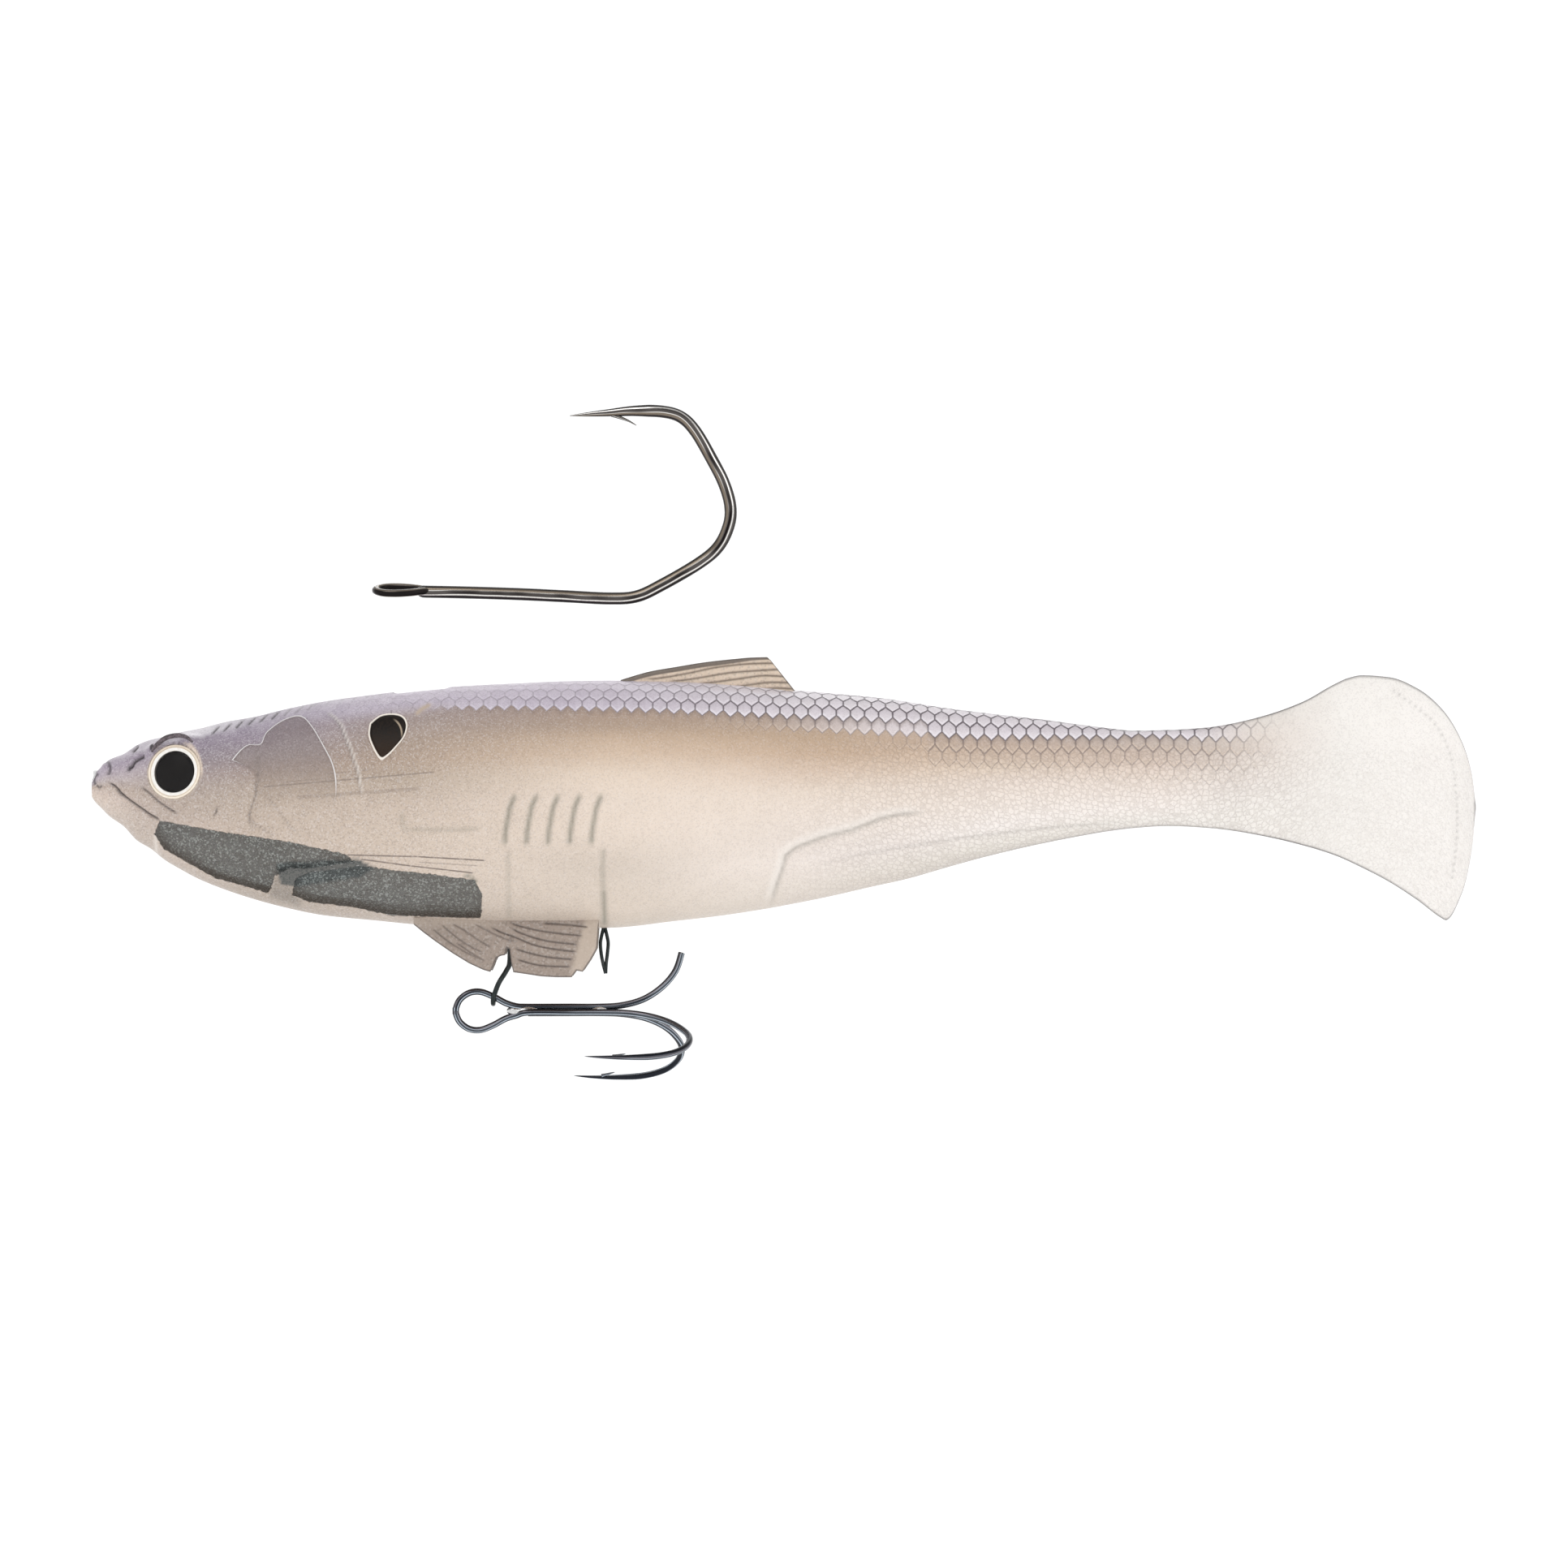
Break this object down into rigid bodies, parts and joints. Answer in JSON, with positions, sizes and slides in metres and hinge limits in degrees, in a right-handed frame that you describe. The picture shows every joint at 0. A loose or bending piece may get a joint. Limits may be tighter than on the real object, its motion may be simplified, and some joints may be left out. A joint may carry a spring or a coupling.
{
  "type": "soft swimbait",
  "caption": "Soft-plastic fish-shaped swimbait with lifted single hook, belly treble hook, keel weights, hook keeper wire, soft fins and a flexing tail.",
  "frame": {"origin": "on the axis of the line bore, at the nose", "axes": "+X from nose to tail, +Z towards the back, +Y the fish's right side"},
  "size_m": [0.1999, 0.0292, 0.098],
  "materials": {
    "soft_body": "translucent soft plastic, pearl and lilac back, satin",
    "soft_tail": "nearly clear soft plastic with fine pearl",
    "fin_film": "thin tan translucent soft plastic with dark rays",
    "gill_film": "thin pearl film",
    "eye_pearl": "glossy pearl",
    "pupil_black": "glossy black",
    "eye_clear": "clear cast resin",
    "spot_dark": "dark brown, glossy",
    "weight_grey": "cast metal, grey-green with fine sparkle",
    "plate_pale": "pale thin plate",
    "tube_clear": "clear liner",
    "wire_black": "dark stainless spring wire",
    "hook_gunmetal": "black nickel, polished",
    "treble_blue_black": "black nickel with a blue cast",
    "braze_silver": "silver braze"
  },
  "bodies": {
    "trunk": {"trunk": "soft_body", "gill_plate_left": "gill_film", "gill_plate_right": "gill_film", "eye_ring_left": "eye_pearl", "eye_ring_right": "eye_pearl", "pupil_left": "pupil_black", "pupil_right": "pupil_black", "eye_dome_left": "eye_clear", "eye_dome_right": "eye_clear", "shoulder_spot_left": "spot_dark", "shoulder_spot_right": "spot_dark", "throat_weight": "weight_grey", "belly_weight": "weight_grey", "weight_plate": "plate_pale", "line_tube": "tube_clear", "hanger_wire": "wire_black"},
    "body_rear": {"body_rear": "soft_body"},
    "tail_stem": {"tail_stem": "soft_body"},
    "tail_fin": {"tail_fin": "soft_tail"},
    "dorsal_fin_left": {"dorsal_fin_left": "fin_film"},
    "dorsal_fin_right": {"dorsal_fin_right": "fin_film"},
    "pelvic_fin_left": {"pelvic_fin_left": "fin_film"},
    "pelvic_fin_right": {"pelvic_fin_right": "fin_film"},
    "single_hook": {"single_hook": "hook_gunmetal"},
    "treble": {"treble_double_hook": "treble_blue_black", "treble_third_hook": "treble_blue_black", "treble_braze": "braze_silver"}
  },
  "joints": [
    {"name": "body_flex", "type": "hinge", "parent": "trunk", "child": "body_rear", "pos_m": [0.112, 0, -0.002], "axis": [0, 0, 1], "range_deg": [-22, 22], "stiffness_Nm_per_rad": 0.06},
    {"name": "stem_flex", "type": "hinge", "parent": "body_rear", "child": "tail_stem", "pos_m": [0.138, 0, 0], "axis": [0, 0, 1], "range_deg": [-28, 28], "stiffness_Nm_per_rad": 0.03},
    {"name": "tail_flex", "type": "hinge", "parent": "tail_stem", "child": "tail_fin", "pos_m": [0.16, 0, 0], "axis": [0, 0, 1], "range_deg": [-35, 35], "stiffness_Nm_per_rad": 0.012},
    {"name": "dorsal_left_bend", "type": "hinge", "parent": "trunk", "child": "dorsal_fin_left", "pos_m": [0.0889, -0.00165, 0.014], "axis": [0.9985, 0, -0.0549], "range_deg": [0, 25], "stiffness_Nm_per_rad": 0.002},
    {"name": "dorsal_right_bend", "type": "hinge", "parent": "trunk", "child": "dorsal_fin_right", "pos_m": [0.0889, 0.00165, 0.014], "axis": [0.9985, 0, -0.0549], "range_deg": [-25, 0], "stiffness_Nm_per_rad": 0.002},
    {"name": "pelvic_left_bend", "type": "hinge", "parent": "trunk", "child": "pelvic_fin_left", "pos_m": [0.06, -0.0036, -0.0209], "axis": [1, 0, 0], "range_deg": [-20, 10], "stiffness_Nm_per_rad": 0.003},
    {"name": "pelvic_right_bend", "type": "hinge", "parent": "trunk", "child": "pelvic_fin_right", "pos_m": [0.06, 0.0036, -0.0209], "axis": [1, 0, 0], "range_deg": [-10, 20], "stiffness_Nm_per_rad": 0.003},
    {"name": "hook_lift_off", "type": "slide", "parent": "trunk", "child": "single_hook", "axis": [0.1961, 0, -0.9806], "range_m": [0, 0.0359]},
    {"name": "treble_swing", "type": "hinge", "parent": "trunk", "child": "treble", "pos_m": [0.05745, 0, -0.0326], "axis": [0, 1, 0], "range_deg": [-6, 80]}
  ]
}
